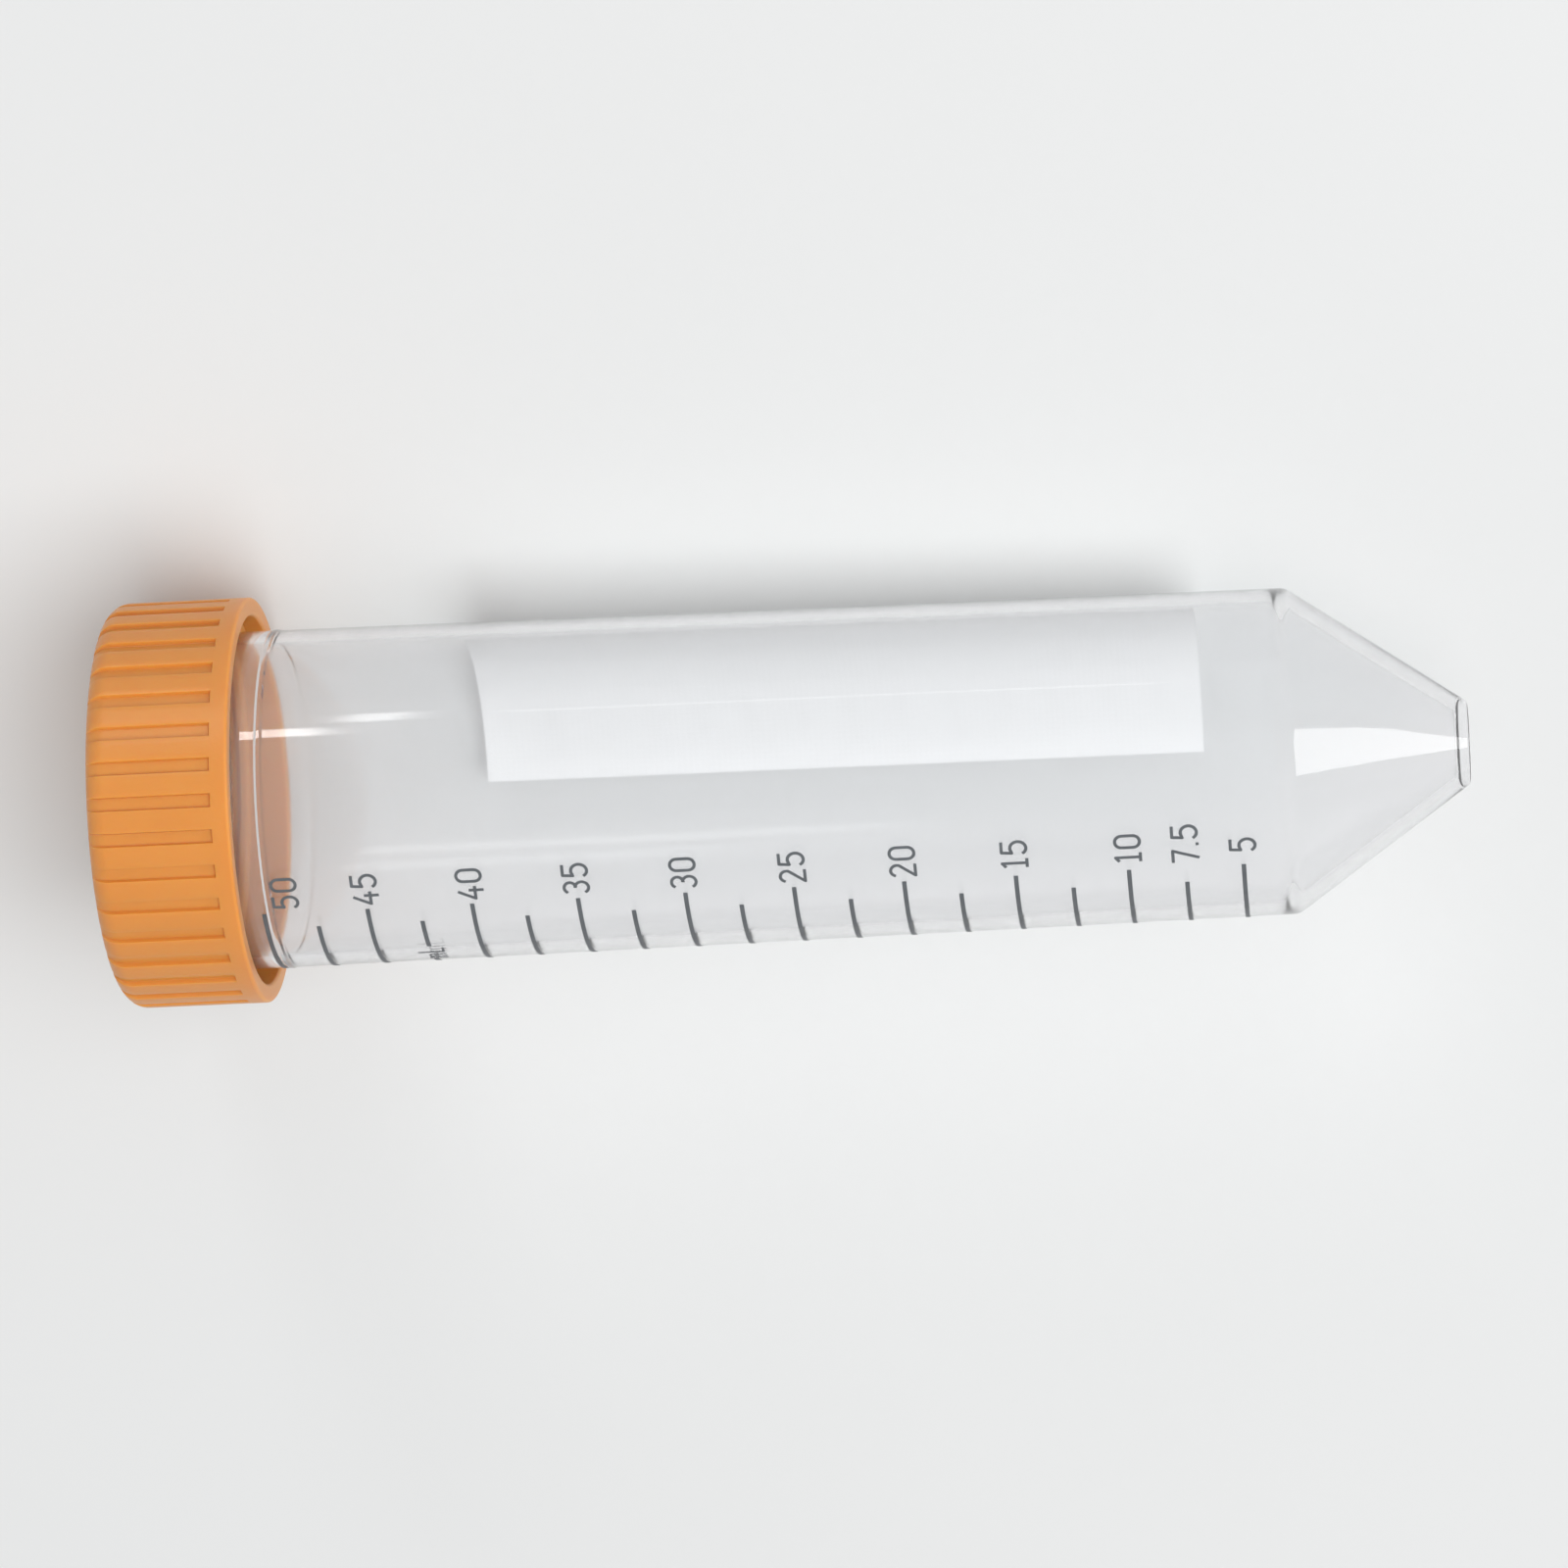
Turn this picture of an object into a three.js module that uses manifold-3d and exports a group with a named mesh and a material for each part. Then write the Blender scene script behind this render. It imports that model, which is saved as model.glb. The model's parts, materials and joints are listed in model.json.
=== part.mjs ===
// A 50 ml conical centrifuge tube with its screw cap, lying on its side as it comes to rest.
// The tube is one clear polypropylene moulding, the cap is one orange polyethylene moulding,
// and the graduations and the write-on panel are ink printed on the outside of the tube.
// Millimetres, +Z up. The tube lies along X, cap towards -X and tip towards +X.
import * as THREE from "three";
import { mergeVertices } from "three/addons/utils/BufferGeometryUtils.js";
import Module from "manifold-3d";

const wasm = await Module();
wasm.setup();

// Tube
const tubeLength = 114.5; // tip to rim
const mouthDiameter = 29.3; // outside, at the rim
const shoulderDiameter = 27.8; // outside, where the cone begins: the body is drafted
const bodyWall = 1.1;
const coneHeight = 15;
const coneWall = 1.35;
const tipDiameter = 7; // the flat end of the cone
const baseThickness = 1.45;
const rimEdge = 0.45;
const shoulderEdge = 1.2;
const tipEdge = 0.8;
const boreShoulderEdge = 2;
const boreTipEdge = 1;

// Thread on the neck: one start, right-handed
const threadPitch = 3.5;
const threadHeight = 0.9;
const threadRootWidth = 1.7;
const threadCrestWidth = 0.7;
const threadBelowRim = 2.2; // rim to the top of the ridge
const threadAboveSkirt = 2; // bottom of the skirt to the bottom of the ridge
const threadRunOut = 40; // degrees over which each end of the ridge rises

// Cap
const capHeight = 12.3;
const capTop = 1.3; // thickness of the flat top
const skirtWall = 1.6;
const threadClearance = 0.35; // ridge crest to the bore of the skirt
const rimClearance = 0.3; // rim to the underside of the top
const lipHeight = 1.5; // plain band below the grip grooves
const lipEdge = 0.3;
const capShoulder = 1.8; // radius round the top edge
const plugClearance = 0.3; // plug to the bore of the mouth
const plugWall = 1;
const plugDepth = 2.2;
const plugEdge = 0.35;
const grooveCount = 36;
const grooveWidth = 1.15;
const grooveDepth = 0.4;

// Print: angles are read anticlockwise from above the cap, and lengths go round the tube
const firstMark = 5; // ml
const lastMark = 50;
const markStep = 2.5;
const longMarkEvery = 5;
const unitMark = 42.5; // this line is broken to make room for the unit
const longMark = 12.6;
const shortMark = 10.8;
const unitGap = 4.1;
const unitGapFromEnd = 2.6;
const lineWidth = 0.38;
const markFromCap = 0.8; // no line is printed nearer than this to the cap
const panelLength = 65;
const panelWidth = 20.4;
const panelAboveFirstMark = 1.4;
const panelTurn = 178.5; // middle of the panel, from the end of the lines beside the numbers
const inkThickness = 0.06;
const inkClearance = 0.04;
const scaleTurn = -19.75; // how far the print is turned about the tube as it lies

// Each round surface has this many sides, one of which faces the surface that the tube lies on.
const sides = 72;
const cornerTolerance = 0.04; // how far a round corner may lie from its true arc
const patchStep = Math.PI / 30;
const overshoot = 1; // how far a cutter reaches past what it cuts
const sink = 0.4; // how far the ridge is rooted in the wall

const mouthRadius = mouthDiameter / 2;
const shoulderRadius = shoulderDiameter / 2;
const tipRadius = tipDiameter / 2;
const sideAngle = (2 * Math.PI) / sides;
const boreRadius = mouthRadius + threadHeight + threadClearance;
const capRadius = boreRadius + skirtWall;
const capBase = tubeLength + rimClearance + capTop - capHeight;

// Outside radius of the body and of the cone at a height above the tip.
function bodyRadius(z) {
  const share = (z - coneHeight) / (tubeLength - coneHeight);
  return shoulderRadius + (mouthRadius - shoulderRadius) * share;
}

function coneRadius(z) {
  return tipRadius + ((shoulderRadius - tipRadius) * z) / coneHeight;
}

// The same inside: the cone's wall is measured square to its surface.
const coneWallAcross = coneWall / Math.cos(Math.atan2(shoulderRadius - tipRadius, coneHeight));

function boreRadiusAt(z) {
  return Math.min(bodyRadius(z) - bodyWall, coneRadius(z) - coneWallAcross);
}

// Finds where a rising function of height reaches a value.
function heightWhere(rising, value) {
  let low = 0;
  let high = 2 * tubeLength;
  for (let i = 0; i < 50; i++) {
    const middle = (low + high) / 2;
    if (rising(middle) < value) low = middle;
    else high = middle;
  }
  return low;
}

const boreShoulderHeight = heightWhere(
  (z) => coneRadius(z) - coneWallAcross - bodyRadius(z) + bodyWall,
  0,
);

function frustum(low, high) {
  const a = boreRadiusAt(low);
  const b = boreRadiusAt(high);
  return (Math.PI / 3) * (high - low) * (a * a + a * b + b * b);
}

// Millilitres held up to a height.
function volumeBelow(z) {
  const inCone = Math.min(z, boreShoulderHeight);
  const cone = frustum(baseThickness, Math.max(inCone, baseThickness));
  return (cone + frustum(inCone, z)) / 1000;
}

// Turns a list of corners [radius, height, fillet] into an outline with round corners.
function rounded(corners) {
  const outline = [];
  corners.forEach(([r, z, fillet = 0], i) => {
    const corner = new THREE.Vector2(r, z);
    if (!fillet) {
      outline.push(corner);
      return;
    }
    const before = new THREE.Vector2(...corners[i - 1]).sub(corner).normalize();
    const after = new THREE.Vector2(...corners[i + 1]).sub(corner).normalize();
    const half = Math.acos(before.dot(after)) / 2;
    const middle = before.clone().add(after).normalize();
    const centre = corner.clone().addScaledVector(middle, fillet / Math.sin(half));
    const start = corner.clone().addScaledVector(before, fillet / Math.tan(half)).sub(centre);
    const turn = Math.sign(after.cross(before)) * (Math.PI - 2 * half);
    const step = 2 * Math.acos(1 - Math.min(1, cornerTolerance / fillet));
    const steps = Math.ceil(Math.abs(turn) / step);
    for (let k = 0; k <= steps; k++) {
      const spoke = start.clone().rotateAround(new THREE.Vector2(), (turn * k) / steps);
      outline.push(centre.clone().add(spoke));
    }
  });
  return outline;
}

// Revolves an outline about Z, with the middle of one side towards -X.
function revolve(outline) {
  return new THREE.LatheGeometry(outline, sides, sideAngle / 2).rotateX(Math.PI / 2);
}

function toSolid(geometry) {
  const shape = geometry.clone();
  shape.deleteAttribute("normal");
  shape.deleteAttribute("uv");
  const merged = mergeVertices(shape, 1e-4);
  const vertProperties = new Float32Array(merged.attributes.position.array);
  const triVerts = new Uint32Array(merged.index.array);
  return new wasm.Manifold(new wasm.Mesh({ numProp: 3, vertProperties, triVerts }));
}

function toGeometry(solid) {
  const mesh = solid.getMesh();
  const geometry = new THREE.BufferGeometry();
  geometry.setAttribute("position", new THREE.BufferAttribute(mesh.vertProperties, 3));
  geometry.setIndex(new THREE.BufferAttribute(mesh.triVerts, 1));
  geometry.computeVertexNormals();
  return geometry;
}

function named(name, geometry, material) {
  const mesh = new THREE.Mesh(geometry, material);
  mesh.name = name;
  return mesh;
}

// Tube: a thin drafted wall, a steep cone with a flat end, and a rounded rim.
const tubeOutline = rounded([
  [0, 0],
  [tipRadius, 0, tipEdge],
  [shoulderRadius, coneHeight, shoulderEdge],
  [mouthRadius, tubeLength, rimEdge],
  [mouthRadius - bodyWall, tubeLength, rimEdge],
  [boreRadiusAt(boreShoulderHeight), boreShoulderHeight, boreShoulderEdge],
  [boreRadiusAt(baseThickness), baseThickness, boreTipEdge],
  [0, baseThickness],
]);

// The thread's ridge: a trapezium swept up a helix, rising from nothing at each end.
function threadRidge() {
  const bottom = capBase + threadAboveSkirt + threadRootWidth / 2;
  const top = tubeLength - threadBelowRim - threadRootWidth / 2;
  const steps = Math.round(((top - bottom) / threadPitch) * sides);
  const runOutSteps = (threadRunOut / 360) * sides;
  const points = [];
  const triangles = [];
  for (let i = 0; i <= steps; i++) {
    const angle = (i + 0.5) * sideAngle;
    const middle = bottom + (threadPitch * i) / sides;
    const rise = Math.min(1, (Math.min(i, steps - i) + 0.5) / runOutSteps);
    const root = bodyRadius(middle) - sink;
    const crest = bodyRadius(middle) + threadHeight * rise;
    const section = [
      [root, -threadRootWidth / 2],
      [crest, -threadCrestWidth / 2],
      [crest, threadCrestWidth / 2],
      [root, threadRootWidth / 2],
    ];
    for (const [r, z] of section) {
      points.push(r * Math.cos(angle), r * Math.sin(angle), middle + z);
    }
    if (i === 0) triangles.push(0, 1, 2, 0, 2, 3);
    else {
      for (let j = 0; j < 4; j++) {
        const a = 4 * (i - 1) + j;
        const b = 4 * (i - 1) + ((j + 1) % 4);
        triangles.push(a, b + 4, b, a, a + 4, b + 4);
      }
    }
  }
  const last = 4 * steps;
  triangles.push(last, last + 2, last + 1, last, last + 3, last + 2);
  const ridge = new THREE.BufferGeometry();
  ridge.setAttribute("position", new THREE.Float32BufferAttribute(points, 3));
  ridge.setIndex(triangles);
  return ridge;
}

const clearPolypropylene = new THREE.MeshStandardMaterial({
  color: 0xe6e9eb,
  roughness: 0.2,
  metalness: 0,
  transparent: true,
  opacity: 0.4,
});
const tubeBody = named(
  "tube_body",
  toGeometry(toSolid(revolve(tubeOutline)).add(toSolid(threadRidge()))),
  clearPolypropylene,
);

// Cap: a flat top with a skirt outside the mouth and a plug that seals inside it.
const ceiling = capHeight - capTop;
const plugRadius = mouthRadius - bodyWall - plugClearance;
const capOutline = rounded([
  [0, ceiling],
  [plugRadius - plugWall, ceiling],
  [plugRadius - plugWall, ceiling - plugDepth, plugEdge],
  [plugRadius, ceiling - plugDepth, plugEdge],
  [plugRadius, ceiling],
  [boreRadius, ceiling],
  [boreRadius, 0, lipEdge],
  [capRadius, 0, lipEdge],
  [capRadius, capHeight, capShoulder],
  [0, capHeight],
]);

// A grip groove ends square above the lip and runs out at the top of the rounded shoulder.
function grooveCutter() {
  const shoulderCentre = [capRadius - capShoulder, capHeight - capShoulder];
  const section = new THREE.Shape();
  section.moveTo(capRadius + overshoot, lipHeight);
  section.lineTo(capRadius + overshoot, capHeight + overshoot);
  section.lineTo(shoulderCentre[0], capHeight + overshoot);
  section.lineTo(shoulderCentre[0], capHeight);
  section.absellipse(
    ...shoulderCentre,
    capShoulder - grooveDepth,
    capShoulder,
    Math.PI / 2,
    0,
    true,
  );
  section.lineTo(capRadius - grooveDepth, lipHeight);
  return new THREE.ExtrudeGeometry(section, {
    depth: grooveWidth,
    bevelEnabled: false,
    curveSegments: 4,
  })
    .rotateX(Math.PI / 2)
    .translate(0, grooveWidth / 2, 0);
}

function cutGrooves(solid) {
  for (let i = 0; i < grooveCount; i++) {
    const angle = sideAngle / 2 + (i * 2 * Math.PI) / grooveCount;
    solid = solid.subtract(toSolid(grooveCutter().rotateZ(angle)));
  }
  return solid;
}

const orangePolyethylene = new THREE.MeshStandardMaterial({
  color: 0xe58a3c,
  roughness: 0.45,
  metalness: 0,
});
const screwCap = named(
  "screw_cap",
  toGeometry(cutGrooves(toSolid(revolve(capOutline)))),
  orangePolyethylene,
);
screwCap.position.z = capBase;

// A patch of ink on the outside of the body, between two angles and two heights.
function inkPatch(fromAngle, toAngle, low, high) {
  const steps = Math.ceil((toAngle - fromAngle) / patchStep);
  const patch = new THREE.BoxGeometry(1, 1, 1, 1, steps, 1);
  const position = patch.attributes.position;
  for (let i = 0; i < position.count; i++) {
    const z = THREE.MathUtils.lerp(low, high, position.getZ(i) + 0.5);
    const angle = THREE.MathUtils.lerp(fromAngle, toAngle, position.getY(i) + 0.5);
    const r = bodyRadius(z) + inkClearance + inkThickness * (position.getX(i) + 0.5);
    position.setXYZ(i, r * Math.cos(angle), r * Math.sin(angle), z);
  }
  patch.computeVertexNormals();
  return patch;
}

const print = new THREE.Group();
print.rotation.z = THREE.MathUtils.degToRad(scaleTurn);

// Graduations: each line stands where the bore holds its volume. Short lines start further round.
function graduation(name, volume, from, to) {
  const z = heightWhere(volumeBelow, volume);
  const r = bodyRadius(z);
  const line = inkPatch(-to / r, -from / r, z - lineWidth / 2, z + lineWidth / 2);
  const ink = new THREE.MeshStandardMaterial({ color: 0x4d5256, roughness: 0.6, metalness: 0 });
  print.add(named(name, line, ink));
}

for (let volume = firstMark; volume <= lastMark; volume += markStep) {
  const height = heightWhere(volumeBelow, volume);
  if (height + lineWidth / 2 + markFromCap > capBase) break;
  const name = `graduation_${volume}`;
  if (volume === unitMark) {
    const gapEnd = longMark - unitGapFromEnd;
    graduation(`${name}_near`, volume, longMark - shortMark, gapEnd - unitGap);
    graduation(`${name}_far`, volume, gapEnd, longMark);
  } else if (volume % longMarkEvery === 0) {
    graduation(name, volume, 0, longMark);
  } else {
    graduation(name, volume, longMark - shortMark, longMark);
  }
}

// Write-on panel: a white field opposite the graduations.
const panelLow = heightWhere(volumeBelow, firstMark) + panelAboveFirstMark;
const panelHalf = panelWidth / 2 / bodyRadius(panelLow + panelLength / 2);
const panelMiddle = THREE.MathUtils.degToRad(panelTurn);
const whiteInk = new THREE.MeshStandardMaterial({
  color: 0xf2f2f3,
  roughness: 0.7,
  metalness: 0,
});
const panel = inkPatch(
  panelMiddle - panelHalf,
  panelMiddle + panelHalf,
  panelLow,
  panelLow + panelLength,
);
print.add(named("write_on_panel", panel, whiteInk));

// Upright, the tube stands on its tip with +Z towards the cap.
const upright = new THREE.Group();
upright.add(tubeBody, screwCap, print);

// Lying, it rests on the cap's lip and on the shoulder above the cone, so its axis slopes.
const flat = Math.cos(sideAngle / 2);
const restSlope = Math.min(
  ...tubeOutline
    .filter((tube) => tube.y < capBase)
    .map((tube) =>
      Math.max(
        ...capOutline.map((cap) => (flat * (cap.x - tube.x)) / (cap.y + capBase - tube.y)),
      ),
    ),
);
const lying = new THREE.Group();
lying.rotation.y = Math.atan(restSlope) - Math.PI / 2;
lying.add(upright);
lying.updateMatrixWorld(true);
const box = new THREE.Box3().setFromObject(lying, true);
const middle = box.getCenter(new THREE.Vector3());
lying.position.set(-middle.x, -middle.y, -box.min.z);

const group = new THREE.Group();
group.add(lying);

export default group;
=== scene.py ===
"""A 50 ml conical centrifuge tube with its screw cap, lying on a pale floor in soft light."""

import json
import math

import bpy
from mathutils import Matrix, Vector
from mathutils.geometry import delaunay_2d_cdt


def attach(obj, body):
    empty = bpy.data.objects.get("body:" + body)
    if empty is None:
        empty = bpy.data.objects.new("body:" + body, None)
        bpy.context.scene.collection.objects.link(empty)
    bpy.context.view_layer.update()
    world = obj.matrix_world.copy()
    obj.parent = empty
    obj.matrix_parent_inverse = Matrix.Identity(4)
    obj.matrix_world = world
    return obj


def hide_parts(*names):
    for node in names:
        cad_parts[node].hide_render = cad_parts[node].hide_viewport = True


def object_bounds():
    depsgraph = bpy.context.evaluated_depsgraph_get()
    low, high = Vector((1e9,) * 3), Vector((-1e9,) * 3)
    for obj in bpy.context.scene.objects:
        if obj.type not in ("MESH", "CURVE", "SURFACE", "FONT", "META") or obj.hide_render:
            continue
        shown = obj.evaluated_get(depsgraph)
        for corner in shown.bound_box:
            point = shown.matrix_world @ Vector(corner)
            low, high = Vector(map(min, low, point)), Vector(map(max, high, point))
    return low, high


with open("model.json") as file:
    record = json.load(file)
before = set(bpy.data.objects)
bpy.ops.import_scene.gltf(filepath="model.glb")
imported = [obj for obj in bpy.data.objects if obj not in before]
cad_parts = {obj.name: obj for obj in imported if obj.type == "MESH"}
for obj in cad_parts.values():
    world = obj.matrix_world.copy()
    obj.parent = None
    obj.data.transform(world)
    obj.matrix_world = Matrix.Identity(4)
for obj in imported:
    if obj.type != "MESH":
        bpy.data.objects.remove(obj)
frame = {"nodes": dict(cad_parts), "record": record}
cad_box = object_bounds()

# ---------------------------------------------------------------------------- The tube
# One injection moulding in clear polypropylene: a thin drafted wall, a steep cone with a
# flat end, and a neck with one right-hand thread. The mould leaves a low bead under the
# neck, and its gate leaves a dimple in the middle of the tip.

# The tube's own frame: millimetres, the tip at the origin and the cap upwards, with the
# angle 0 uppermost as it lies. Every piece is made in it, and then laid down in its place.
mounts = {mount["name"]: mount for mount in frame["record"]["mounts"]}
towards_cap = Vector(mounts["cap_top"]["axis"]).normalized()
sideways = Vector((0.0, 1.0, 0.0))
uppermost = sideways.cross(towards_cap)
lie_down = Matrix((uppermost, sideways, towards_cap)).transposed().to_4x4()
lie_down.translation = Vector(mounts["tip_end"]["pos_m"])
lie_down @= Matrix.Scale(0.001, 4)


def own_points(node):
    """A CAD node's corners in the tube's own frame."""
    return [lie_down.inverted() @ corner.co for corner in frame["nodes"][node].data.vertices]


tube_length = max(point.z for point in own_points("tube_body"))
cap_base = min(point.z for point in own_points("screw_cap"))
cap_top = max(point.z for point in own_points("screw_cap"))

mouth_radius = 14.65
shoulder_radius = 13.9
cone_height = 15
tip_radius = 3.5
body_wall = 1.1
cone_wall = 1.35
base_thickness = 1.45
cone_wall_across = cone_wall / math.cos(math.atan2(shoulder_radius - tip_radius, cone_height))
draft = (mouth_radius - shoulder_radius) / (tube_length - cone_height)


def body_radius(z):
    """The outside radius of the body at a height above the tip."""
    return shoulder_radius + draft * (z - cone_height)


def cone_bore(z):
    """The inside radius of the cone."""
    return tip_radius + (shoulder_radius - tip_radius) * z / cone_height - cone_wall_across


# Where the cone's bore meets the body's.
cone_slope = (shoulder_radius - tip_radius) / cone_height
bore_shoulder = (body_radius(0) - body_wall - cone_bore(0)) / (cone_slope - draft)


def rounded(corners, turn_step=math.radians(9)):
    """An outline through corners (radius, height, fillet), with each fillet as an arc."""
    outline = []
    for i, (radius, height, *fillet) in enumerate(corners):
        corner = Vector((radius, height))
        if not fillet:
            outline.append(corner)
            continue
        before = (Vector(corners[i - 1][:2]) - corner).normalized()
        after = (Vector(corners[i + 1][:2]) - corner).normalized()
        half = before.angle(after) / 2
        centre = corner + (before + after).normalized() * fillet[0] / math.sin(half)
        spoke = corner + before * fillet[0] / math.tan(half) - centre
        turn = math.copysign(math.pi - 2 * half, after.cross(before))
        steps = max(2, math.ceil(abs(turn) / turn_step))
        for k in range(steps + 1):
            outline.append(centre + Matrix.Rotation(turn * k / steps, 2) @ spoke)
    return outline


def sector(name, outline, columns, base=0):
    """One sector of a turned piece: an outline at each column (angle, depth function)."""
    corners = []
    for angle, depth in columns:
        for radius, height in outline:
            r = radius - depth(radius, height)
            corners.append((r * math.cos(angle), r * math.sin(angle), base + height))
    rows = len(outline)
    faces = [
        (c * rows + i, (c + 1) * rows + i, (c + 1) * rows + i + 1, c * rows + i + 1)
        for c in range(len(columns) - 1)
        for i in range(rows - 1)
    ]
    mesh = bpy.data.meshes.new(name)
    mesh.from_pydata(corners, [], faces)
    piece = bpy.data.objects.new(name, mesh)
    bpy.context.scene.collection.objects.link(piece)
    return piece


def add(tree, kind, inputs=None, **settings):
    """Adds a node to a tree, with its settings, and with its inputs set or linked."""
    node = tree.nodes.new(kind)
    for name, value in settings.items():
        setattr(node, name, value)
    for name, value in (inputs or {}).items():
        if isinstance(value, bpy.types.NodeSocket):
            tree.links.new(value, node.inputs[name])
        else:
            node.inputs[name].default_value = value
    return node


def shape_tree(name, **inputs):
    """A Geometry Nodes tree with its named inputs, and what they give."""
    tree = bpy.data.node_groups.new(name, "GeometryNodeTree")
    for label, kind in {"Geometry": "Geometry", **inputs}.items():
        tree.interface.new_socket(label, in_out="INPUT", socket_type="NodeSocket" + kind)
    tree.interface.new_socket("Geometry", in_out="OUTPUT", socket_type="NodeSocketGeometry")
    return tree, add(tree, "NodeGroupInput").outputs


def grow(piece, tree, **values):
    """Puts a tree on a piece, with its inputs set by their sockets' identifiers."""
    modifier = piece.modifiers.new(tree.name, "NODES")
    modifier.node_group = tree
    for socket in tree.interface.items_tree:
        if socket.in_out == "INPUT" and socket.name in values:
            modifier[socket.identifier] = values[socket.name]


sharp_edge = math.radians(28)


def settle(piece, body, slot, *stands_for):
    """Makes a piece a plain mesh, lays it down in its place and ties it to the CAD."""
    now = bpy.context.evaluated_depsgraph_get()
    sketch = piece.data
    piece.data = bpy.data.meshes.new_from_object(
        piece.evaluated_get(now), preserve_all_data_layers=True, depsgraph=now
    )
    piece.modifiers.clear()
    bpy.data.meshes.remove(sketch)
    piece.data.name = piece.name
    piece.data.transform(lie_down)
    piece.data.shade_smooth()
    piece.data.set_sharp_from_angle(angle=sharp_edge)
    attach(piece, body)
    if stands_for:
        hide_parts(*stands_for)


# Repeats one sector round the axis, as often as it takes to close the turn.
turned, given = shape_tree("turned", Count="Int", Weld="Float", Material="Material")
spots = add(turned, "GeometryNodeMeshLine", {"Count": given["Count"], "Offset": (0, 0, 0)})
share = add(
    turned,
    "ShaderNodeMath",
    {0: add(turned, "GeometryNodeInputIndex").outputs[0], 1: given["Count"]},
    operation="DIVIDE",
)
angle = add(turned, "ShaderNodeMath", {0: share.outputs[0], 1: math.tau}, operation="MULTIPLY")
spin = add(turned, "ShaderNodeCombineXYZ", {"Z": angle.outputs[0]})
copies = add(
    turned,
    "GeometryNodeInstanceOnPoints",
    {"Points": spots.outputs[0], "Instance": given["Geometry"], "Rotation": spin.outputs[0]},
)
real = add(turned, "GeometryNodeRealizeInstances", {0: copies.outputs[0]})
welded = add(
    turned, "GeometryNodeMergeByDistance", {0: real.outputs[0], "Distance": given["Weld"]}
)
dressed = add(
    turned, "GeometryNodeSetMaterial", {0: welded.outputs[0], "Material": given["Material"]}
)
add(turned, "NodeGroupOutput", {0: dressed.outputs[0]})

# A thread: a trapezium swept up a right-hand helix from the angle 0, sunk a little in the
# wall, which rises from the wall and runs out into it again at its two ends.
threaded, given = shape_tree(
    "threaded",
    **{
        "Turns": "Float",
        "Pitch": "Float",
        "Bottom": "Float",
        "Radius": "Float",
        "Top Radius": "Float",
        "Height": "Float",
        "Root Width": "Float",
        "Crest Width": "Float",
        "Quarter Turn": "Float",
        "Run Out": "Float",
        "Steps": "Int",
        "Material": "Material",
    },
)
rise = add(
    threaded, "ShaderNodeMath", {0: given["Turns"], 1: given["Pitch"]}, operation="MULTIPLY"
)
helix = add(
    threaded,
    "GeometryNodeCurveSpiral",
    {
        "Resolution": given["Steps"],
        "Rotations": given["Turns"],
        "Start Radius": given["Radius"],
        "End Radius": given["Top Radius"],
        "Height": rise.outputs[0],
        "Reverse": True,
    },
)
lift = add(threaded, "ShaderNodeCombineXYZ", {"Z": given["Bottom"]})
raised = add(
    threaded, "GeometryNodeTransform", {0: helix.outputs[0], "Translation": lift.outputs[0]}
)
along = add(threaded, "GeometryNodeSplineParameter").outputs["Factor"]
back = add(threaded, "ShaderNodeMath", {0: 1.0, 1: along}, operation="SUBTRACT")
end = add(threaded, "ShaderNodeMath", {0: along, 1: back.outputs[0]}, operation="MINIMUM")
swell = add(
    threaded,
    "ShaderNodeMapRange",
    {"Value": end.outputs[0], "From Max": given["Run Out"], "To Min": 0.3, "To Max": 1.0},
    interpolation_type="SMOOTHSTEP",
)
upright_path = add(threaded, "GeometryNodeSetCurveNormal", {0: raised.outputs[0]}, mode="Z_UP")
trapezium = add(
    threaded,
    "GeometryNodeCurvePrimitiveQuadrilateral",
    {
        "Height": given["Height"],
        "Bottom Width": given["Root Width"],
        "Top Width": given["Crest Width"],
        "Offset": 0.0,
    },
    mode="TRAPEZOID",
)
eased = add(
    threaded,
    "GeometryNodeFilletCurve",
    {0: trapezium.outputs[0], "Count": 3, "Radius": 0.16},
    mode="POLY",
)
turned_profile = add(
    threaded,
    "GeometryNodeTransform",
    {
        0: eased.outputs[0],
        "Rotation": add(
            threaded, "ShaderNodeCombineXYZ", {"Z": given["Quarter Turn"]}
        ).outputs[0],
    },
)
ridge = add(
    threaded,
    "GeometryNodeCurveToMesh",
    {
        "Curve": upright_path.outputs[0],
        "Profile Curve": turned_profile.outputs[0],
        "Scale": swell.outputs[0],
        "Fill Caps": True,
    },
)
joined = add(threaded, "GeometryNodeMeshBoolean", operation="UNION", solver="EXACT")
threaded.links.new(ridge.outputs[0], joined.inputs["Mesh 2"])
threaded.links.new(given["Geometry"], joined.inputs["Mesh 2"])
settled = add(threaded, "GeometryNodeRealizeInstances", {0: joined.outputs[0]})
dressed = add(
    threaded, "GeometryNodeSetMaterial", {0: settled.outputs[0], "Material": given["Material"]}
)
add(threaded, "NodeGroupOutput", {0: dressed.outputs[0]})


def linear(hex_colour):
    """An sRGB hex colour as the linear colour that a shader takes."""
    channels = [int(hex_colour[i : i + 2], 16) / 255 for i in (1, 3, 5)]
    return (*(c / 12.92 if c <= 0.04045 else ((c + 0.055) / 1.055) ** 2.4 for c in channels), 1)


def finish_tree(name):
    """A new material and its empty node tree."""
    material = bpy.data.materials.new(name)
    material.use_nodes = True
    material.node_tree.nodes.clear()
    return material, material.node_tree


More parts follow.
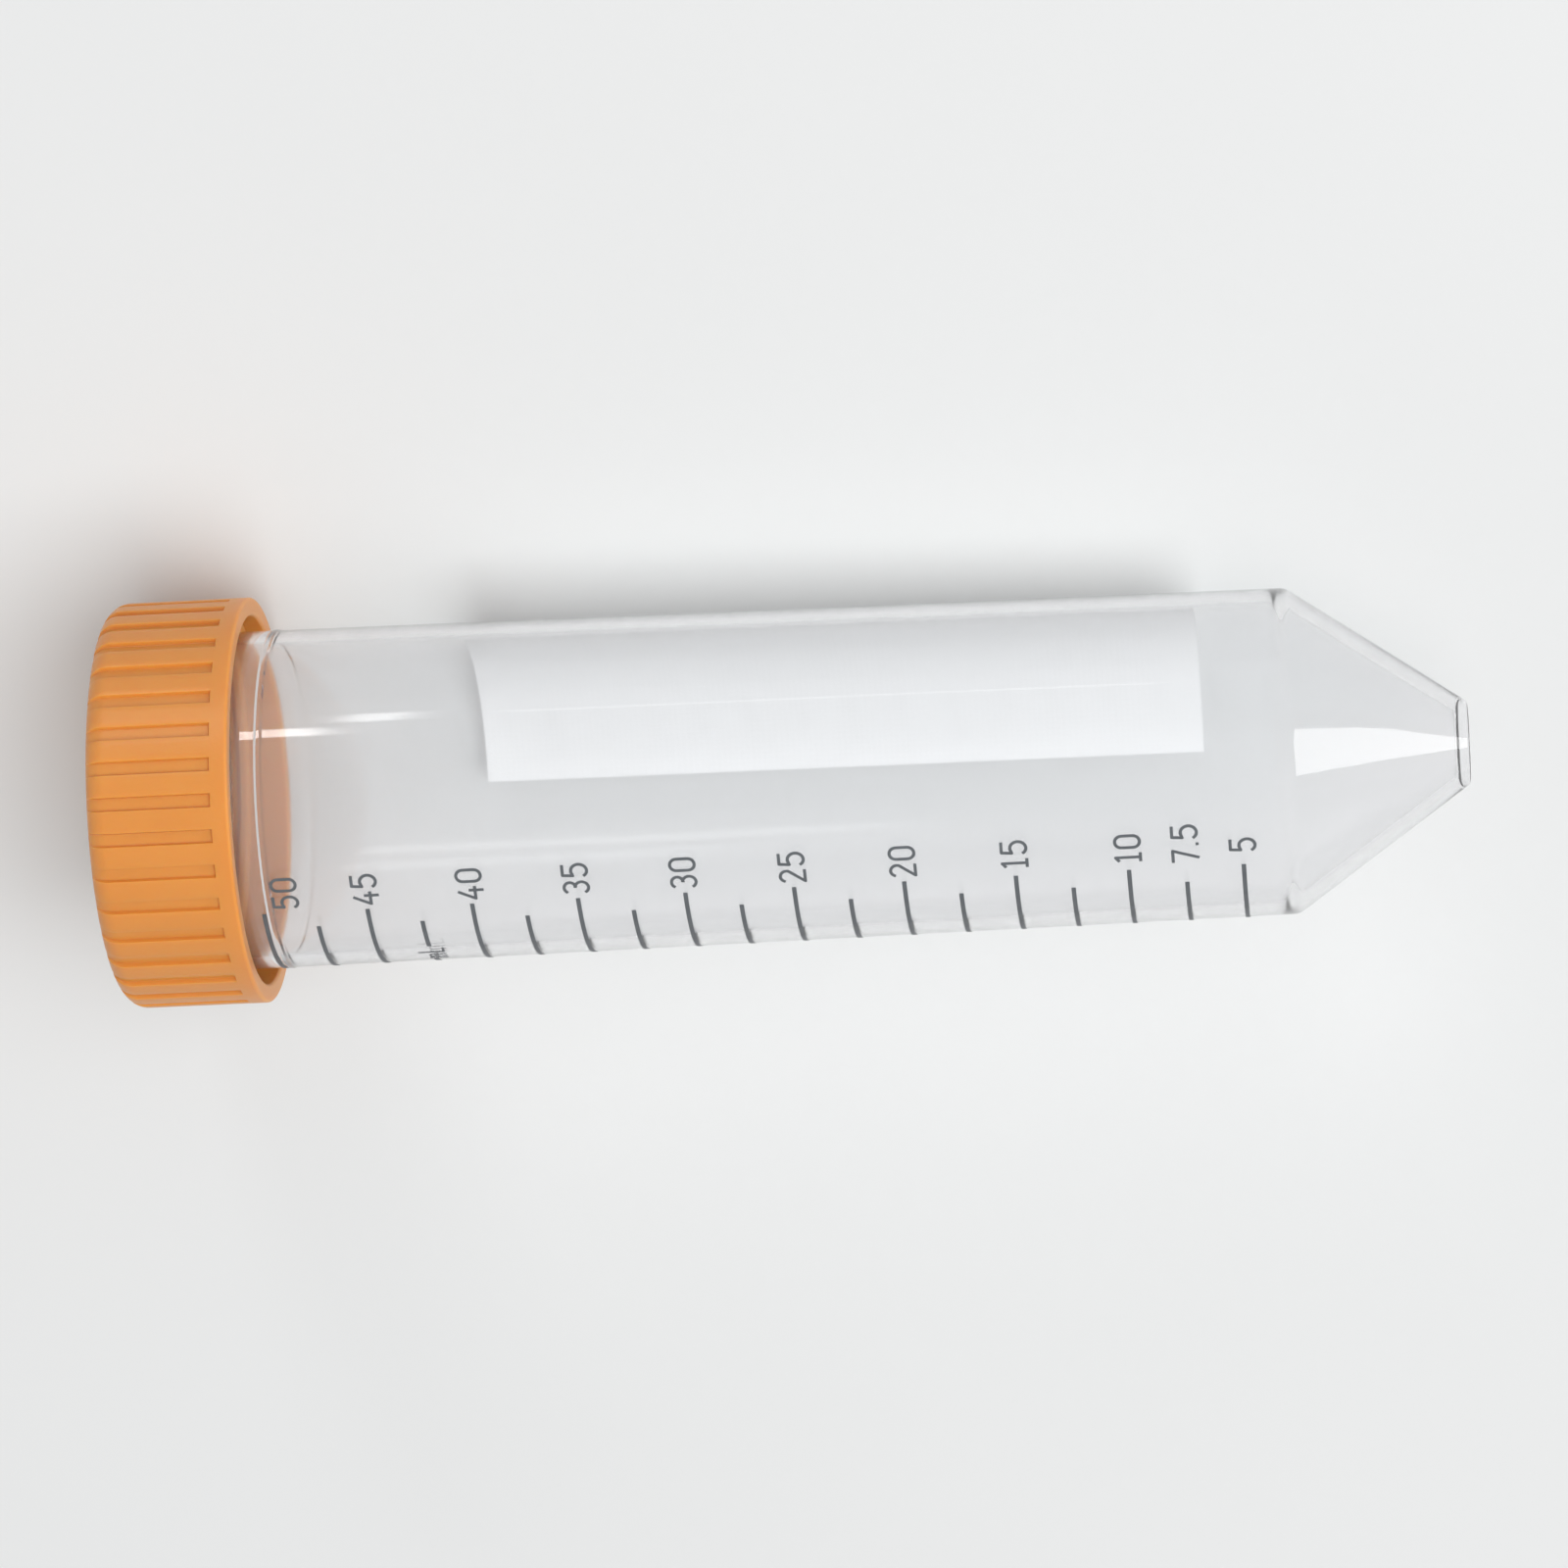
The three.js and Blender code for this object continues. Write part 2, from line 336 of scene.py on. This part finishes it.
# Polypropylene, injection moulded in a polished tool: clear but a little milky and grey, and
# glossy, with faint waves, 30 mm long and 6 mm wide, that make the highlights wander. Light
# falls through it nearly white, so its shadow stays pale.
clear_polypropylene, tree = finish_tree("clear_polypropylene_moulded")
place = add(tree, "ShaderNodeTexCoord").outputs["Object"]
drawn_out = add(tree, "ShaderNodeMapping", {"Vector": place, "Scale": (30, 160, 160)})
waves = add(
    tree, "ShaderNodeTexNoise", {"Vector": drawn_out.outputs[0], "Scale": 1.0, "Detail": 1.0}
)
flow = add(
    tree,
    "ShaderNodeBump",
    {"Height": waves.outputs[0], "Strength": 0.09, "Distance": 0.0002},
)
polypropylene = add(
    tree,
    "ShaderNodeBsdfPrincipled",
    {
        "Base Color": linear("#F6F6F7"),
        "Roughness": 0.06,
        "IOR": 1.49,
        "Transmission Weight": 0.96,
        "Normal": flow.outputs[0],
    },
)
shade = add(tree, "ShaderNodeBsdfTransparent", {"Color": linear("#F9FAFA")})
rays = add(tree, "ShaderNodeLightPath")
lit_through = add(
    tree,
    "ShaderNodeMixShader",
    {0: rays.outputs["Is Shadow Ray"], 1: polypropylene.outputs[0], 2: shade.outputs[0]},
)
add(tree, "ShaderNodeOutputMaterial", {"Surface": lit_through.outputs[0]})

bead_height = 101.7
bead_rise = 0.08
bead_half = 0.35
bead_top_half = 0.15
bead_foot_edge = 0.1
bead_edge = 0.08
gate_radius = 0.9
gate_depth = 0.35
gate_flare = 0.15
gate_floor_edge = 0.12
gate_edge = 0.1
tip_edge = 0.5
shoulder_edge = 1.6
rim_edge = 0.45
bore_shoulder_edge = 3
bore_floor_edge = 0.4
tube_outline = rounded(
    [
        (0, gate_depth),
        (gate_radius, gate_depth, gate_floor_edge),
        (gate_radius + gate_flare, 0, gate_edge),
        (tip_radius, 0, tip_edge),
        (shoulder_radius, cone_height, shoulder_edge),
        (body_radius(bead_height - bead_half), bead_height - bead_half, bead_foot_edge),
        (body_radius(bead_height) + bead_rise, bead_height - bead_top_half, bead_edge),
        (body_radius(bead_height) + bead_rise, bead_height + bead_top_half, bead_edge),
        (body_radius(bead_height + bead_half), bead_height + bead_half, bead_foot_edge),
        (mouth_radius, tube_length, rim_edge),
        (mouth_radius - body_wall, tube_length, rim_edge),
        (body_radius(bore_shoulder) - body_wall, bore_shoulder, bore_shoulder_edge),
        (cone_bore(base_thickness), base_thickness, bore_floor_edge),
        (0, base_thickness),
    ]
)
tube_sides = 288
half_side = math.pi / tube_sides
tube = sector(
    "tube_moulding",
    tube_outline,
    [(-half_side, lambda r, z: 0), (half_side, lambda r, z: 0)],
)
grow(tube, turned, Count=tube_sides, Weld=0.001, Material=clear_polypropylene)

thread_pitch = 3.5
thread_height = 0.9
thread_root = 1.7
thread_crest = 0.7
thread_sink = 0.3
thread_run_out = 0.08
thread_steps = 144
thread_above_skirt = 2
thread_below_rim = 2.2
thread_bottom = cap_base + thread_above_skirt + thread_root / 2
thread_top = tube_length - thread_below_rim - thread_root / 2
thread_turns = (thread_top - thread_bottom) / thread_pitch
thread_reach = (thread_height - thread_sink) / 2
grow(
    tube,
    threaded,
    **{
        "Turns": thread_turns,
        "Pitch": thread_pitch,
        "Bottom": thread_bottom,
        "Radius": body_radius(thread_bottom) + thread_reach,
        "Top Radius": body_radius(thread_top) + thread_reach,
        "Height": thread_height + thread_sink,
        "Root Width": thread_root + thread_sink,
        "Crest Width": thread_crest,
        "Quarter Turn": -math.pi / 2,
        "Run Out": thread_run_out,
        "Steps": thread_steps,
        "Material": clear_polypropylene,
    },
)
settle(tube, "tube", "clear_polypropylene", "tube_body")

# ---------------------------------------------------------------------------- The cap
# One injection moulding in orange polyethylene, screwed on over the neck: a flat top, a
# skirt with grip grooves over a plain lip, a thread inside and a plug that seals the mouth.

# Polyethylene, moulded with a satin face: soft highlights, a grain of 0.4 mm, and a colour
# that is a touch uneven from one 6 mm patch to the next.
orange_polyethylene, tree = finish_tree("orange_polyethylene_moulded")
place = add(tree, "ShaderNodeTexCoord").outputs["Object"]
grain = add(
    tree,
    "ShaderNodeTexNoise",
    {"Vector": place, "Scale": 2600.0, "Detail": 2.0, "Roughness": 0.55},
)
clouds = add(tree, "ShaderNodeTexNoise", {"Vector": place, "Scale": 160.0, "Detail": 3.0})
tone = add(
    tree,
    "ShaderNodeMix",
    {0: clouds.outputs[0], 6: linear("#D4893A"), 7: linear("#DB9344")},
    data_type="RGBA",
)
satin = add(
    tree,
    "ShaderNodeMapRange",
    {"Value": clouds.outputs[0], "To Min": 0.34, "To Max": 0.46},
)
pebbled = add(
    tree,
    "ShaderNodeBump",
    {"Height": grain.outputs[0], "Strength": 0.35, "Distance": 0.00005},
)
polyethylene = add(
    tree,
    "ShaderNodeBsdfPrincipled",
    {
        "Base Color": tone.outputs[2],
        "Roughness": satin.outputs[0],
        "IOR": 1.51,
        "Subsurface Weight": 0.6,
        "Subsurface Radius": (1.0, 0.45, 0.15),
        "Subsurface Scale": 0.0018,
        "Normal": pebbled.outputs[0],
    },
)
add(tree, "ShaderNodeOutputMaterial", {"Surface": polyethylene.outputs[0]})

cap_height = cap_top - cap_base
cap_wall_top = 1.3
ceiling = cap_height - cap_wall_top
skirt_bore = 15.9
cap_radius = 17.5
cap_shoulder = 1.8
plug_radius = mouth_radius - body_wall - 0.3
plug_wall = 1.0
plug_depth = 2.2
plug_root_edge = 0.3
plug_lead_in = 0.35
plug_foot_edge = 0.25
ceiling_edge = 0.4
skirt_edge = 0.3
lip_height = 1.5
groove_end = 0.14
cap_outline = rounded(
    [
        (0, ceiling),
        (plug_radius - plug_wall, ceiling, plug_root_edge),
        (plug_radius - plug_wall, ceiling - plug_depth, plug_lead_in),
        (plug_radius, ceiling - plug_depth, plug_lead_in),
        (plug_radius, ceiling, plug_foot_edge),
        (skirt_bore, ceiling, ceiling_edge),
        (skirt_bore, 0, skirt_edge),
        (cap_radius, 0, skirt_edge),
        (cap_radius, lip_height),
        (cap_radius, lip_height + groove_end),
        (cap_radius, cap_height, cap_shoulder),
        (0, cap_height),
    ],
    turn_step=math.radians(7),
)

# One groove and the land round it: degrees from the groove's middle, and the share of its
# full depth there. The groove ends square above the lip, and it gets shallower round the
# shoulder until it runs out at the flat top.
groove_count = 36
groove_depth = 0.4
groove_face = skirt_bore + 0.1
groove_side = [(0.75, 1), (1.5, 1), (1.66, 0.93), (1.82, 0.45), (1.95, 0.07), (2.2, 0)]
groove_side += [(3.6, 0), (180 / groove_count, 0)]


def groove_at(share):
    """How deep the cap is cut at a point of its outline, for a share of the full depth."""

    def depth(radius, height):
        if radius < groove_face or height < lip_height + groove_end / 2:
            return 0
        above = max(0.0, height - (cap_height - cap_shoulder)) / cap_shoulder
        return share * groove_depth * math.sqrt(max(0.0, 1 - above * above))

    return depth


columns = [(-a, share) for a, share in reversed(groove_side)] + [(0, 1)] + groove_side
land_middle = math.radians(2.5)
cap = sector(
    "screw_cap_moulding",
    cap_outline,
    [(math.radians(a) + land_middle, groove_at(share)) for a, share in columns],
    base=cap_base,
)
grow(cap, turned, Count=groove_count, Weld=0.001, Material=orange_polyethylene)

# The thread inside the skirt lies midway between the turns of the thread on the neck.
cap_thread_height = 0.8
cap_thread_root = 1.3
cap_thread_turns = 1.5
cap_thread_bottom = thread_bottom - thread_pitch / 2
cap_thread_reach = skirt_bore - (cap_thread_height - thread_sink) / 2
grow(
    cap,
    threaded,
    **{
        "Turns": cap_thread_turns,
        "Pitch": thread_pitch,
        "Bottom": cap_thread_bottom,
        "Radius": cap_thread_reach,
        "Top Radius": cap_thread_reach,
        "Height": cap_thread_height + thread_sink,
        "Root Width": cap_thread_root + thread_sink,
        "Crest Width": thread_crest,
        "Quarter Turn": math.pi / 2,
        "Run Out": thread_run_out,
        "Steps": thread_steps,
        "Material": orange_polyethylene,
    },
)
settle(cap, "cap", "orange_polyethylene", "screw_cap")

# ---------------------------------------------------------------------------- The scale
# Grey ink screen-printed on the outside of the tube: a line for every 2.5 ml, numbers, and
# the unit in a break in one line.


def printed_between(node):
    """The angles and the heights between which the CAD prints a patch of ink."""
    points = own_points(node)
    middle = math.atan2(sum(p.y for p in points), sum(p.x for p in points))
    turns = [math.remainder(math.atan2(p.y, p.x) - middle, math.tau) for p in points]
    heights = [p.z for p in points]
    return middle + min(turns), middle + max(turns), min(heights), max(heights)


# Patches of ink, flat: one at each point, as long and as broad as the point says, with
# columns of faces enough to bend smoothly.
patch_columns = 49
printed, given = shape_tree("printed", Thickness="Float")
blank = add(printed, "GeometryNodeMeshCube", {"Size": (1, 1, 1), "Vertices X": patch_columns})
reach, breadth = (
    add(printed, "GeometryNodeInputNamedAttribute", {"Name": label}, data_type="FLOAT")
    for label in ("reach", "breadth")
)
extent = add(
    printed,
    "ShaderNodeCombineXYZ",
    {"X": reach.outputs[0], "Y": breadth.outputs[0], "Z": given["Thickness"]},
)
patches = add(
    printed,
    "GeometryNodeInstanceOnPoints",
    {"Points": given["Geometry"], "Instance": blank.outputs[0], "Scale": extent.outputs[0]},
)
real = add(printed, "GeometryNodeRealizeInstances", {0: patches.outputs[0]})
add(printed, "NodeGroupOutput", {0: real.outputs[0]})

# Wraps flat ink round the drafted tube: across becomes round, up stays up, and thickness
# becomes distance from the wall. It keeps the flat place as a UV map, in millimetres.
wrapped, given = shape_tree(
    "wrapped", Turn="Float", Radius="Float", Draft="Float", Lift="Float", Material="Material"
)
flat = add(wrapped, "GeometryNodeInputPosition").outputs[0]
mapped = add(
    wrapped,
    "GeometryNodeStoreNamedAttribute",
    {"Geometry": given["Geometry"], "Name": "UVMap", "Value": flat},
    data_type="FLOAT2",
    domain="CORNER",
)
parts = add(wrapped, "ShaderNodeSeparateXYZ", {0: flat}).outputs
wall = add(
    wrapped,
    "ShaderNodeMath",
    {0: parts["Y"], 1: given["Draft"], 2: given["Radius"]},
    operation="MULTIPLY_ADD",
)
round_by = add(
    wrapped, "ShaderNodeMath", {0: parts["X"], 1: wall.outputs[0]}, operation="DIVIDE"
)
bearing = add(wrapped, "ShaderNodeMath", {0: round_by.outputs[0], 1: given["Turn"]})
face = add(wrapped, "ShaderNodeMath", {0: wall.outputs[0], 1: given["Lift"]})
out_by = add(wrapped, "ShaderNodeMath", {0: face.outputs[0], 1: parts["Z"]})
turn_x = add(wrapped, "ShaderNodeMath", {0: bearing.outputs[0]}, operation="COSINE")
turn_y = add(wrapped, "ShaderNodeMath", {0: bearing.outputs[0]}, operation="SINE")
round_x, round_y = (
    add(wrapped, "ShaderNodeMath", {0: way.outputs[0], 1: out_by.outputs[0]}, operation="MULTIPLY")
    for way in (turn_x, turn_y)
)
on_wall = add(
    wrapped,
    "ShaderNodeCombineXYZ",
    {"X": round_x.outputs[0], "Y": round_y.outputs[0], "Z": parts["Y"]},
)
bent = add(
    wrapped, "GeometryNodeSetPosition", {0: mapped.outputs[0], "Position": on_wall.outputs[0]}
)
real = add(wrapped, "GeometryNodeRealizeInstances", {0: bent.outputs[0]})
dressed = add(
    wrapped, "GeometryNodeSetMaterial", {0: real.outputs[0], "Material": given["Material"]}
)
add(wrapped, "NodeGroupOutput", {0: dressed.outputs[0]})

# Grey screen-printing ink: matte, and a little uneven, in spots of 1 mm, where it went on thin.
grey_ink, tree = finish_tree("grey_screen_ink")
place = add(tree, "ShaderNodeTexCoord").outputs["Object"]
coverage = add(tree, "ShaderNodeTexNoise", {"Vector": place, "Scale": 900.0, "Detail": 2.0})
thin = add(
    tree,
    "ShaderNodeMix",
    {0: coverage.outputs[0], 6: linear("#484C50"), 7: linear("#63676B")},
    data_type="RGBA",
)
ink = add(
    tree,
    "ShaderNodeBsdfPrincipled",
    {"Base Color": thin.outputs[2], "Roughness": 0.5, "IOR": 1.5},
)
add(tree, "ShaderNodeOutputMaterial", {"Surface": ink.outputs[0]})

ink_thickness = 0.03
ink_lift = 0.03
lines = [node for node in frame["nodes"] if node.startswith("graduation_")]
scale_turn = max(printed_between(node)[1] for node in lines)


def patch_points(name, nodes, turn, short=0):
    """A point for each patch of ink that the CAD prints, with its length and breadth.

    A patch that is short stops this far above the low end that the CAD gives it.
    """
    spots, reaches, breadths = [], [], []
    for node in nodes:
        start, end, low, high = printed_between(node)
        low += short
        radius = body_radius((low + high) / 2)
        middle = math.remainder((start + end) / 2 - turn, math.tau)
        spots.append((middle * radius, (low + high) / 2, 0))
        reaches.append((end - start) * radius)
        breadths.append(high - low)
    mesh = bpy.data.meshes.new(name)
    mesh.from_pydata(spots, [], [])
    for label, values in (("reach", reaches), ("breadth", breadths)):
        mesh.attributes.new(label, "FLOAT", "POINT").data.foreach_set("value", values)
    piece = bpy.data.objects.new(name, mesh)
    bpy.context.scene.collection.objects.link(piece)
    return piece


graduations = patch_points("graduation_ink", lines, scale_turn)
grow(graduations, printed, Thickness=ink_thickness)
on_the_wall = {"Radius": body_radius(0), "Draft": draft, "Lift": ink_lift}
grow(graduations, wrapped, Turn=scale_turn, Material=grey_ink, **on_the_wall)
settle(graduations, "tube", "grey_ink", *lines)

# The numbers and the unit, in a plain narrow face drawn as strokes of one width, finer in the
# unit. They read upright with the cap on top, and each stands at the end of its line.
stroke = 0.27
fine_strokes = {"m": 0.15, "L": 0.21}
digit_width = 1.4
digit_height = 2.35
letter_gap = 0.34


def bow(x, y, across, up, start, end, steps=12):
    """Points round part of an ellipse, from one bearing to another in degrees."""
    bearings = [math.radians(start + (end - start) * k / steps) for k in range(steps + 1)]
    return [(x + across * math.cos(a), y + up * math.sin(a)) for a in bearings]


left, right = stroke / 2, digit_width - stroke / 2
foot, head = stroke / 2, digit_height - stroke / 2
centre = digit_width / 2
half_width = (right - left) / 2
strokes = {
    "0": [
        bow(centre, head - half_width, half_width, half_width, 180, 0)
        + bow(centre, foot + half_width, half_width, half_width, 0, -180)
        + [(left, head - half_width)]
    ],
    "1": [
        [(0.2, head - 0.32), (0.62, head), (0.62, foot)],
        [(0.16, foot), (1.08, foot)],
    ],
    "2": [
        bow(centre, head - 0.55, half_width, 0.55, 165, -20)
        + [(left, foot), (right + 0.1, foot)]
    ],
    "3": [
        bow(centre - 0.03, head - 0.5, half_width, 0.5, 155, -90),
        bow(centre - 0.03, foot + 0.58, half_width + 0.03, 0.58, 90, -155),
    ],
    "4": [
        [(0.86, head), (left - 0.06, foot + 0.62), (right + 0.12, foot + 0.62)],
        [(0.98, foot + 1.15), (0.98, foot - stroke / 2)],
    ],
    "5": [
        [(right, head), (left + 0.1, head), (left + 0.03, foot + 1.22)]
        + bow(centre - 0.06, foot + 0.68, half_width + 0.06, 0.68, 118, -150)
    ],
    "7": [[(left - 0.1, head), (right, head), (0.5, foot - stroke / 2)]],
    ".": [[(0.15, 0.0), (0.15, stroke)]],
    "m": [
        [(left, 1.6), (left, 0)],
        [(left, 1.05)] + bow(0.5, 1.12, 0.355, 0.34, 180, 0) + [(0.855, 0)],
        [(0.855, 1.05)] + bow(1.21, 1.12, 0.355, 0.34, 180, 0) + [(1.565, 0)],
    ],
    "L": [[(left, digit_height), (left, foot), (1.1, foot)]],
}
widths = {"1": 1.14, ".": 0.3, "m": 1.71, "L": 1.1}


ribbon_step = 0.35
gentle_bend = 0.8  # the least cosine of a bend that the ribbon goes round without a dot


def stroke_faces(points, breadth):
    """A stroke as flat faces: a ribbon along its line, and a round dot at a sharp corner."""
    fine = [Vector(points[0])]
    for point in map(Vector, points[1:]):
        steps = max(1, math.ceil((point - fine[-1]).length / ribbon_step))
        fine += [fine[-1].lerp(point, k / steps) for k in range(1, steps + 1)]
    ways = [(b - a).normalized() for a, b in zip(fine, fine[1:])]
    sides = []
    for i, way in enumerate(ways):
        ends = []
        for point, other in ((fine[i], i - 1), (fine[i + 1], i + 1)):
            along = way
            if 0 <= other < len(ways) and way.dot(ways[other]) > gentle_bend:
                along = (way + ways[other]).normalized()
            square = Vector((-along.y, along.x)) * (breadth / 2 / along.dot(way))
            ends.append((point - square, point + square))
        sides.append([ends[0][0], ends[1][0], ends[1][1], ends[0][1]])
    for i in range(1, len(ways)):
        if ways[i].dot(ways[i - 1]) <= gentle_bend:
            dot = bow(0, 0, breadth / 2, breadth / 2, 0, 330, 11)
            sides.append([fine[i] + Vector(spot) for spot in dot])
    return sides


def inside(point, outline):
    """Whether a point lies within a convex outline that runs anticlockwise."""
    edges = zip(outline, outline[1:] + outline[:1])
    return all((b - a).cross(point - a) >= 0 for a, b in edges)


def drawn(character):
    """A character's corners and triangles, with its strokes merged where they cross."""
    corners, outlines = [], []
    for line in strokes[character]:
        for outline in stroke_faces(line, fine_strokes.get(character, stroke)):
            outlines.append(list(range(len(corners), len(corners) + len(outline))))
            corners += outline
    points, _, triangles, *_ = delaunay_2d_cdt(corners, [], outlines, 0, 1e-5, False)
    shapes = [[corners[i] for i in outline] for outline in outlines]
    inked = []
    for triangle in triangles:
        heart = sum((points[i] for i in triangle), Vector((0, 0))) / 3
        if any(inside(heart, shape) for shape in shapes):
            inked.append(triangle)
    return points, inked


def write(text, x, middle, corners, faces):
    """Adds a line of text, from x onwards, with its middle at a height."""
    for character in text:
        shape, triangles = drawn(character)
        first = len(corners)
        foot_height = middle - digit_height / 2
        corners += [(x + point.x, foot_height + point.y, 0) for point in shape]
        faces += [[first + i for i in face] for face in triangles]
        x += widths.get(character, digit_width) + letter_gap


line_heights = {
    node.removeprefix("graduation_"): sum(printed_between(node)[2:]) / 2 for node in lines
}
number_gap = 0.5
unit_gap = 0.45
one_shift = 0.25  # a figure 1 has no left side
clear_of_cap = 2.0
corners, faces = [], []
for text in ("5", "7.5", "10", "15", "20", "25", "30", "35", "40", "45", "50"):
    start = number_gap
    if text == "5":  # it stands in the middle of the room that two figures take
        start += (digit_width + letter_gap) / 2
    if text.startswith("1"):
        start += one_shift
    drop = clear_of_cap if text == "50" else 0.0
    write(text, start, line_heights[text] - drop, corners, faces)
unit_start = (printed_between("graduation_42.5_far")[1] - scale_turn) * body_radius(
    line_heights["42.5_far"]
)
write("mL", unit_start + unit_gap, line_heights["42.5_far"], corners, faces)
mesh = bpy.data.meshes.new("number_ink")
mesh.from_pydata(corners, [], faces)
numbers = bpy.data.objects.new("number_ink", mesh)
bpy.context.scene.collection.objects.link(numbers)
body_of_ink = numbers.modifiers.new("thickness", "SOLIDIFY")
body_of_ink.thickness = ink_thickness
body_of_ink.offset = 0
grow(numbers, wrapped, Turn=scale_turn, Material=grey_ink, **on_the_wall)
settle(numbers, "tube", "grey_ink")

# ---------------------------------------------------------------------------- The panel
# A field of white ink to write on, screen-printed opposite the scale and left matte so
# that it takes a pen.

# White screen-printing ink with matting filler: flat and chalky, with the screen's mesh
# just showing. The mesh is drawn at 0.5 mm, coarser than a real one of 0.1 mm, to show.
white_ink, tree = finish_tree("white_screen_ink_matte")
print_place = add(tree, "ShaderNodeUVMap", uv_map="UVMap").outputs[0]
mesh_waves = []
for direction in ("X", "Y"):
    mesh_waves.append(
        add(
            tree,
            "ShaderNodeTexWave",
            {"Vector": print_place, "Scale": 0.62, "Distortion": 0.6, "Detail": 1.0},
            bands_direction=direction,
        ).outputs["Fac"]
    )
weave = add(tree, "ShaderNodeMath", {0: mesh_waves[0], 1: mesh_waves[1]}, operation="MULTIPLY")
chalk = add(
    tree,
    "ShaderNodeTexNoise",
    {"Vector": print_place, "Scale": 1.4, "Detail": 4.0, "Roughness": 0.6},
)
relief = add(tree, "ShaderNodeMath", {0: weave.outputs[0], 1: chalk.outputs[0]})
tooth = add(
    tree,
    "ShaderNodeBump",
    {"Height": relief.outputs[0], "Strength": 0.3, "Distance": 0.00003},
)
cover = add(
    tree,
    "ShaderNodeMix",
    {0: chalk.outputs[0], 6: linear("#F9F9F9"), 7: linear("#FEFEFE")},
    data_type="RGBA",
)
white = add(
    tree,
    "ShaderNodeBsdfPrincipled",
    {
        "Base Color": cover.outputs[2],
        "Roughness": 0.75,
        "IOR": 1.5,
        "Normal": tooth.outputs[0],
    },
)
add(tree, "ShaderNodeOutputMaterial", {"Surface": white.outputs[0]})

panel_turn = sum(printed_between("write_on_panel")[:2]) / 2
panel_short = 2.0  # which leaves 8 mm of bare wall above the cone
panel = patch_points("write_on_panel_ink", ["write_on_panel"], panel_turn, panel_short)
grow(panel, printed, Thickness=ink_thickness)
grow(panel, wrapped, Turn=panel_turn, Material=white_ink, **on_the_wall)
settle(panel, "tube", "white_ink", "write_on_panel")

# ---------------------------------------------------------------------------- The set
# A pale floor that runs out to a white backdrop, soft lamps and the camera. None of it is
# part of the tube.
floor_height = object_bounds()[0].z
floor_reach = 3.0
mesh = bpy.data.meshes.new("floor")
edge = [(-1, -1), (1, -1), (1, 1), (-1, 1)]
spread = [(x * floor_reach, y * floor_reach, floor_height) for x, y in edge]
mesh.from_pydata(spread, [], [(0, 1, 2, 3)])
floor = bpy.data.objects.new("floor", mesh)
bpy.context.scene.collection.objects.link(floor)

pale_floor, tree = finish_tree("pale_matt_board")
place = add(tree, "ShaderNodeTexCoord").outputs["Object"]
fibres = add(tree, "ShaderNodeTexNoise", {"Vector": place, "Scale": 14.0, "Detail": 2.0})
board = add(
    tree,
    "ShaderNodeMix",
    {0: fibres.outputs[0], 6: linear("#DDDEDE"), 7: linear("#E0E1E1")},
    data_type="RGBA",
)
paper = add(tree, "ShaderNodeBsdfDiffuse", {"Color": board.outputs[2]})
add(tree, "ShaderNodeOutputMaterial", {"Surface": paper.outputs[0]})
floor.data.materials.append(pale_floor)

# The room lights the tube with a third of white, and looks white wherever it is seen.
world = bpy.data.worlds.new("white_room")
bpy.context.scene.world = world
world.use_nodes = True
tree = world.node_tree
tree.nodes.clear()
rays = add(tree, "ShaderNodeLightPath").outputs
looked_at = add(tree, "ShaderNodeMath", {0: rays["Is Camera Ray"], 1: rays["Is Glossy Ray"]})
seen = add(
    tree,
    "ShaderNodeMath",
    {0: looked_at.outputs[0], 1: rays["Is Transmission Ray"]},
    use_clamp=True,
)
brightness = add(
    tree, "ShaderNodeMapRange", {"Value": seen.outputs[0], "To Min": 0.35, "To Max": 1.0}
)
room = add(
    tree,
    "ShaderNodeBackground",
    {"Color": linear("#FFFFFF"), "Strength": brightness.outputs[0]},
)
add(tree, "ShaderNodeOutputWorld", {"Surface": room.outputs[0]})

middle = (cad_box[0] + cad_box[1]) / 2


def softbox(name, place, width, height, watts, shines=True):
    """A rectangular lamp that faces the tube, at a place measured from the tube's middle.

    No lamp shows through the tube's wall, where each would glint a second time.
    """
    lamp = bpy.data.lights.new(name, "AREA")
    lamp.shape = "RECTANGLE"
    lamp.size, lamp.size_y, lamp.energy = width, height, watts
    piece = bpy.data.objects.new(name, lamp)
    piece.location = middle + Vector(place)
    piece.rotation_euler = (-Vector(place)).to_track_quat("-Z", "Y").to_euler()
    piece.visible_camera = False
    piece.visible_glossy = shines
    piece.visible_transmission = False
    bpy.context.scene.collection.objects.link(piece)


# The overhead lamp gives the even light and shows in no gloss. The others draw the bright
# marks on the wall: the wedge on the cone, two short streaks at the neck and a long faint one.
softbox("overhead", (1.2, 0.4, 3.45), 3.2, 3.2, 122, shines=False)
softbox("cone_end", (0.566, 0.082, 0.18), 0.22, 0.2, 0.66)
softbox("lip_strip", (-0.1385, 0.56, 0.25), 0.123, 0.06, 0.3)
softbox("neck_strip", (-0.0715, 0.58, 0.155), 0.011, 0.06, 0.017)
softbox("long_strip", (0.01, 0.58, 0.155), 0.12, 0.012, 0.008)

# The camera looks down on the tube from the side where the panel starts, off its middle
# towards the tip, and leans so that the tube runs a little uphill.
camera = bpy.data.objects.new("camera", bpy.data.cameras.new("camera"))
eye = Vector((0.0697, 0.2107, 0.5205))
look = eye.normalized()
across = Vector((0, 1, 0)).cross(look).normalized()
facing = Matrix((across, look.cross(across), look)).transposed().to_4x4()
lean = Matrix.Rotation(math.radians(-4.7), 4, "Z")
camera.matrix_world = Matrix.Translation(middle + eye) @ facing @ lean
camera.data.lens = 152  # in millimetres, for a long look with little foreshortening
bpy.context.scene.collection.objects.link(camera)
bpy.context.scene.camera = camera
bpy.context.scene.view_settings.view_transform = "Standard"
